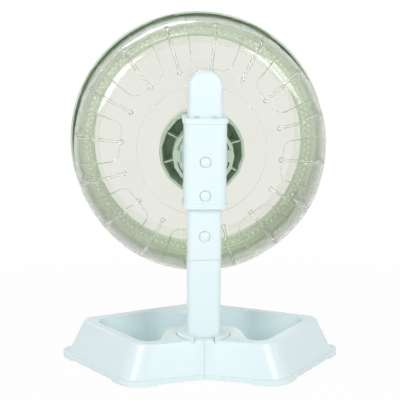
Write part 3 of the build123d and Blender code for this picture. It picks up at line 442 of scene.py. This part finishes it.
# The lathe's rows come in stretches, each with its end and its step. Its columns are given in half
# widths of a tread, and between the treads in degrees from a tread.
STEP_ROWS = ((STEP_SLOPE[1], 0.3),)
BACK_FIRST_ROW = STEP_R + 2
BACK_ROWS = ((74.5, 3.0), (80.0, 0.5), (86.5, 0.8), (DRUM_R - SHOULDER_R, 2.2))
SHOULDER_ROWS = ((90.0, 6.0),)
DRUM_FIRST_ROW = 3.0
DRUM_ROWS = ((50.0, 6.0), (54.6, 0.8))
TREAD_COLUMNS = (0.0, 0.3, 0.55, 0.75, 0.88, 0.96, 1.0, 1.08)
PANEL_COLUMNS = (2.8, 4.2, 5.6, 6.8, 7.8, 8.7, 9.5, 10.2, 10.8, 11.4, 11.9, 12.4, 12.8, 13.1, 13.4,
                 13.7, 14.2, 15.2, 16.6, 18.2, 19.6)
BESIDE_TREAD = 1.8


def ramp(value, low, high):
    """0 at low, 1 at high and eased between."""
    share = min(max((value - low) / (high - low), 0.0), 1.0)
    return share * share * (3 - 2 * share)


def spread(start, stretches):
    """Evenly spaced values through stretches of given ends and steps, without the last end."""
    values = []
    for end, step in stretches:
        count = max(1, ceil((end - start) / step - 0.001))
        values += [start + (end - start) * i / count for i in range(count)]
        start = end
    return values


def bowl_profile():
    """Closed outline of the wall, as radius, depth and four moves for each point.

    The moves are the panel's recess and the tread's rise, each inwards and frontwards.
    """
    centre_r, centre_y = DRUM_R - SHOULDER_R, PLANE_Y - SHOULDER_R
    flare = (DRUM_FRONT_R - DRUM_R) / (centre_y - FRONT_Y)
    back = spread(BACK_FIRST_ROW, BACK_ROWS)
    shoulder = [radians(90.0 - angle) for angle in spread(0.0, SHOULDER_ROWS)] + [0.0]
    drum = spread(DRUM_FIRST_ROW, DRUM_ROWS) + [DRUM_ROWS[-1][0]]

    def face(skin):
        """Points of one face of the wall from the hub to the front, skin deep below the outside."""
        bend_r = SHOULDER_R - skin
        found = [(HOLE_R, BACK_Y - skin), ((HOLE_R + STEP_R) / 2, BACK_Y - skin)]
        for past in spread(STEP_SLOPE[0], STEP_ROWS):
            depth = BACK_Y + (PLANE_Y - BACK_Y) * ramp(past, *STEP_SLOPE) - skin
            found.append((STEP_R + past, depth))
        found += [(radius, PLANE_Y - skin) for radius in back]
        found += [(centre_r + bend_r * cos(a), centre_y + bend_r * sin(a)) for a in shoulder]
        found += [(DRUM_R - skin + flare * past, centre_y - past) for past in drum]
        return [(radius, depth) + moves(radius, depth, skin > 0) for radius, depth in found]

    def moves(radius, depth, inside):
        """Panel recess and tread rise at a point, along the wall's own direction."""
        shallower = ramp(radius, *PANEL_SHALLOWS)
        sunk = PANEL_RECESS + (PANEL_RECESS_DRUM - PANEL_RECESS) * shallower
        sunk *= 1 - ramp(-depth, *PANEL_RUNS_OUT)
        rise = 0.0
        if inside:
            rise = TREAD_BACK_H + (TREAD_DRUM_H - TREAD_BACK_H) * ramp(-depth, *TREAD_GROWS)
            rise *= 1 - ramp(-depth, *TREAD_RUNS_OUT)
        lean = atan2(max(depth - centre_y, 0.0), max(radius - centre_r, 0.001))
        return sunk * cos(lean), sunk * sin(lean), rise * cos(lean), rise * sin(lean)

    behind = FRONT_Y + FLANGE_T
    flange = [(DRUM_FRONT_R, behind + FLANGE_ROOT), (DRUM_FRONT_R + FLANGE_ROOT, behind),
              (FLANGE_R - FLANGE_EDGE, behind), (FLANGE_R, behind - FLANGE_EDGE),
              (FLANGE_R, FRONT_Y), (DRUM_FRONT_R - WALL, FRONT_Y)]
    still = (0.0, 0.0, 0.0, 0.0)
    return face(0.0) + [point + still for point in flange] + face(WALL)[::-1]


def bowl_angles():
    """Angles of the lathe's columns, closest together where treads and panel edges stand."""
    near_tread = [TREAD_HALF * share for share in TREAD_COLUMNS] + [BESIDE_TREAD]
    next_tread = [TREAD_PITCH - angle for angle in near_tread[::-1]]
    half = near_tread + list(PANEL_COLUMNS) + next_tread
    period = half + [2 * TREAD_PITCH - angle for angle in half[-2:0:-1]]
    return [FIRST_TREAD + TREAD_PITCH + 2 * TREAD_PITCH * panel + angle
            for panel in range(TREADS // 2) for angle in period]


profile = bowl_profile()
columns = bowl_angles()
points = []
shares = {"sunk_in": [], "sunk_front": [], "rise_in": [], "rise_front": []}
for angle in columns:
    across, high = -cos(radians(angle)), sin(radians(angle))
    for radius, depth, *moves in profile:
        points.append((across * radius * MM, depth * MM, high * radius * MM))
        for name, move in zip(shares, moves):
            shares[name].append(move * MM)
count = len(profile)
faces = []
for column in range(len(columns)):
    here, beside = column * count, (column + 1) % len(columns) * count
    for row in range(count):
        after = (row + 1) % count
        faces.append((here + after, beside + after, beside + row, here + row))
bowl_blank = bpy.data.meshes.new("wheel_bowl_blank")
bowl_blank.from_pydata(points, [], faces)
for name, values in shares.items():
    bowl_blank.attributes.new(name, "FLOAT", "POINT").data.foreach_set("value", values)

CLEAR_FACE = (0.79, 0.80, 0.725, 1)
CLEAR_FACE_HAZY = (0.81, 0.815, 0.745, 1)
CLEAR_EDGE_ON_SHADE = (0.34, 0.43, 0.46, 1)
CLEAR_SHADOW = (0.89, 0.90, 0.865, 1)
CLEAR_STRAIGHT = 0.2
EDGE_ON = (0.55, 1.0)
HAZE_DENSITY = 26.0
HAZE_DEPTH = 0.00002
SCUFF_DENSITY = 700.0
SCUFF_STRETCH = (1.0, 0.12, 1.0)

clear_styrene, graph, place = new_material("clear_styrene")
haze = graph.noise(place, HAZE_DENSITY, 3.0)
scuffs = graph.noise(place, SCUFF_DENSITY, 3.0, SCUFF_STRETCH)
clear_face = graph.mix(haze.smooth(0.3, 0.7), CLEAR_FACE, CLEAR_FACE_HAZY)
# Painted shade: the wall's colour turns dark bluish grey where the view grazes it, such as at the
# treads' sides and the drum.
edge_on_shade = graph.node("ShaderNodeLayerWeight", {}, {"Blend": 0.5}, "Facing").smooth(*EDGE_ON)
clear_glass = graph.principled({
    "Base Color": graph.mix(edge_on_shade, clear_face, CLEAR_EDGE_ON_SHADE),
    "Roughness": 0.004 + 0.03 * scuffs,
    "Normal": graph.bump(haze, 0.3, HAZE_DEPTH),
    "IOR": PLASTIC_IOR,
    "Transmission Weight": 1.0,
})
lamp_ray = graph.node("ShaderNodeLightPath", out="Is Shadow Ray")
passed = graph.node("ShaderNodeBsdfTransparent", {}, {"Color": CLEAR_SHADOW})
straight = CLEAR_STRAIGHT + (1.0 - CLEAR_STRAIGHT) * lamp_ray
end_material(graph, graph.blend(straight, clear_glass, passed))


def geometry_tree(name, sizes):
    """A Geometry Nodes tree with an input for each size, as its graph and its input wires."""
    tree = bpy.data.node_groups.new(name, "GeometryNodeTree")
    tree.interface.new_socket("Geometry", in_out="INPUT", socket_type="NodeSocketGeometry")
    tree.interface.new_socket("Geometry", in_out="OUTPUT", socket_type="NodeSocketGeometry")
    for label, value in sizes.items():
        kind = "NodeSocketInt" if isinstance(value, int) else "NodeSocketFloat"
        tree.interface.new_socket(label, in_out="INPUT", socket_type=kind)
    graph = Graph(tree)
    shape = graph.node("NodeGroupInput", out="Geometry")
    return graph, {label: shape.twin(label) for label in ["Geometry", *sizes]}


def end_tree(graph, geometry, material):
    """Ends a tree in Realize Instances and Set Material."""
    real = graph.node("GeometryNodeRealizeInstances", {}, {"Geometry": geometry})
    painted = graph.node("GeometryNodeSetMaterial", {}, {"Geometry": real, "Material": material})
    graph.node("NodeGroupOutput", {}, {"Geometry": painted})


def bake_modifiers(piece):
    """Turns a piece's modifiers into its own plain mesh."""
    evaluated = piece.evaluated_get(bpy.context.evaluated_depsgraph_get())
    mesh = bpy.data.meshes.new_from_object(evaluated)
    piece.modifiers.clear()
    piece.data = mesh
    mesh.name = piece.name


def run_tree(name, mesh, tree, sizes):
    """Runs a tree with its sizes on a mesh and returns a piece that holds the plain result."""
    piece = bpy.data.objects.new(name, mesh)
    collection.objects.link(piece)
    modifier = piece.modifiers.new("rule", "NODES")
    modifier.node_group = tree
    for item in tree.interface.items_tree:
        if item.in_out == "INPUT" and item.name in sizes:
            modifier[item.identifier] = sizes[item.name]
    bake_modifiers(piece)
    return piece


def shade_by_angle(piece, crease):
    """Smooth faces with sharp creases kept, and normals that lean to the larger faces."""
    piece.data.polygons.foreach_set("use_smooth", [True] * len(piece.data.polygons))
    piece.data.set_sharp_from_angle(angle=radians(crease))
    weigh = piece.modifiers.new("even_normals", "WEIGHTED_NORMAL")
    weigh.keep_sharp = True
    bake_modifiers(piece)


bowl_sizes = {
    "Tread Pitch": radians(TREAD_PITCH),
    "First Tread": radians(FIRST_TREAD),
    "Tread Half Angle": radians(TREAD_HALF),
    "Tread Start": TREAD_START * MM,
    "Tread End Radius": TREAD_END_R * MM,
    "Panel Half Angle": radians(PANEL_HALF),
    "Panel Start": PANEL_START * MM,
    "Panel Corner": PANEL_CORNER * MM,
    "Panel Edge": PANEL_EDGE * MM,
}
BLADE_ROUNDING = (-0.0003, 0.0004)
END_ROUNDING = (-0.0003, 0.0003)

graph, wires = geometry_tree("pressed_bowl", bowl_sizes)
move_by = {name: graph.node("GeometryNodeInputNamedAttribute", {}, {"Name": name})
           for name in shares}
x, y, z = graph.parts(graph.node("GeometryNodeInputPosition"))
radius = (x * x + z * z) ** 0.5
turned = z.turn(0.0 - x)
pitch = wires["Tread Pitch"]
from_tread = (turned - wires["First Tread"]).wrap(pitch * -0.5, pitch / 2)
from_panel = abs((turned - (wires["First Tread"] + pitch)).wrap(pitch * -1.0, pitch))

# A panel is a rounded rectangle on the wall, sunk from its edge inwards.
corner = wires["Panel Corner"]
short_back = corner - (radius * from_panel.cos() - wires["Panel Start"])
short_side = corner - radius * (wires["Panel Half Angle"] - from_panel).sin()
outside = (short_back.most(0.0) ** 2.0 + short_side.most(0.0) ** 2.0) ** 0.5
inside = corner - (outside + short_back.most(short_side).least(0.0))
panel = inside.smooth(0.0, wires["Panel Edge"])

# A tread is a half-round blade, which starts in a round end on the bowl's back.
along = radius * from_tread.cos() - wires["Tread Start"]
aside = radius * from_tread.sin()
across_tread = from_tread / wires["Tread Half Angle"]
blade_height = (1.0 - across_tread * across_tread).most(0.0) ** 0.5
blade = blade_height * along.smooth(*BLADE_ROUNDING)
from_end = (along * along + aside ** 2.0) ** 0.5
tread = blade.most((wires["Tread End Radius"] - from_end).smooth(*END_ROUNDING))

grow = (radius - panel * move_by["sunk_in"] - tread * move_by["rise_in"]) / radius
deep = y - panel * move_by["sunk_front"] - tread * move_by["rise_front"]
moved = graph.node("ShaderNodeCombineXYZ", {}, {"X": x * grow, "Y": deep, "Z": z * grow})
pressed = graph.node("GeometryNodeSetPosition", {},
                     {"Geometry": wires["Geometry"], "Position": moved})
end_tree(graph, pressed, clear_styrene)
bowl = run_tree("clear_wheel_bowl", bowl_blank, graph.tree, bowl_sizes)
bowl.data.transform(Matrix.Translation((0, POST_Y, WHEEL_Z)))
shade_by_angle(bowl, crease=38.0)
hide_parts("wheel_bowl")
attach(bowl, "wheel")


# Front ring: sage-green ABS, snapped over the bowl's flange. Two staggered rows of small domes are
# moulded on its rear face for grip. The domes get a smoother polish and a paler green, a painted
# highlight.
DOTS = 124
DOT_R = 1.85
DOT_FLATNESS = 0.8
DOT_SEGMENTS = 8
DOT_RINGS = 6
DOT_ROW_RADII = (110.8, 115.4)

finish_nodes(sage_green, "front_ring")
# Painted highlight: the domes' paler green stands in for light caught on their tops; only their
# lower roughness is real polish.
dot_green_painted_highlight = moulded_plastic("polished_sage_green_painted_highlight", (0.88, 0.95, 0.86), (0.84, 0.92, 0.82), 0.14)

dot_sizes = {
    "Count": DOTS,
    "Inner Radius": DOT_ROW_RADII[0] * MM,
    "Outer Radius": DOT_ROW_RADII[1] * MM,
    "Dot Radius": DOT_R * MM,
    "Half Step": pi / DOTS,
}
graph, wires = geometry_tree("ring_of_dots", dot_sizes)
ball = graph.node("GeometryNodeMeshUVSphere", {},
                  {"Segments": DOT_SEGMENTS, "Rings": DOT_RINGS, "Radius": wires["Dot Radius"]})
dome = graph.node("GeometryNodeTransform", {},
                  {"Geometry": ball, "Scale": (1.0, 1.0, DOT_FLATNESS)})
dot_rows = []
for label, half_steps in (("Inner Radius", 0.0), ("Outer Radius", 1.0)):
    circle = graph.node("GeometryNodeMeshCircle", {},
                        {"Vertices": wires["Count"], "Radius": wires[label]})
    turn = graph.node("ShaderNodeCombineXYZ", {}, {"Z": wires["Half Step"] * half_steps})
    places = graph.node("GeometryNodeTransform", {}, {"Geometry": circle, "Rotation": turn})
    dot_rows.append(graph.node("GeometryNodeInstanceOnPoints", {},
                               {"Points": places, "Instance": dome}))
joined = graph.node("GeometryNodeJoinGeometry", {}, {"Geometry": dot_rows})
end_tree(graph, joined, dot_green_painted_highlight)
dots = run_tree("ring_grip_dots", bpy.data.meshes.new("ring_grip_dots"), graph.tree, dot_sizes)
dots_place = Matrix.Translation((0, POST_Y + FRONT_Y * MM, WHEEL_Z))
dots.data.transform(dots_place @ Matrix.Rotation(radians(90), 4, "X"))
shade_by_angle(dots, crease=60.0)
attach(dots, "wheel")


low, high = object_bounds()
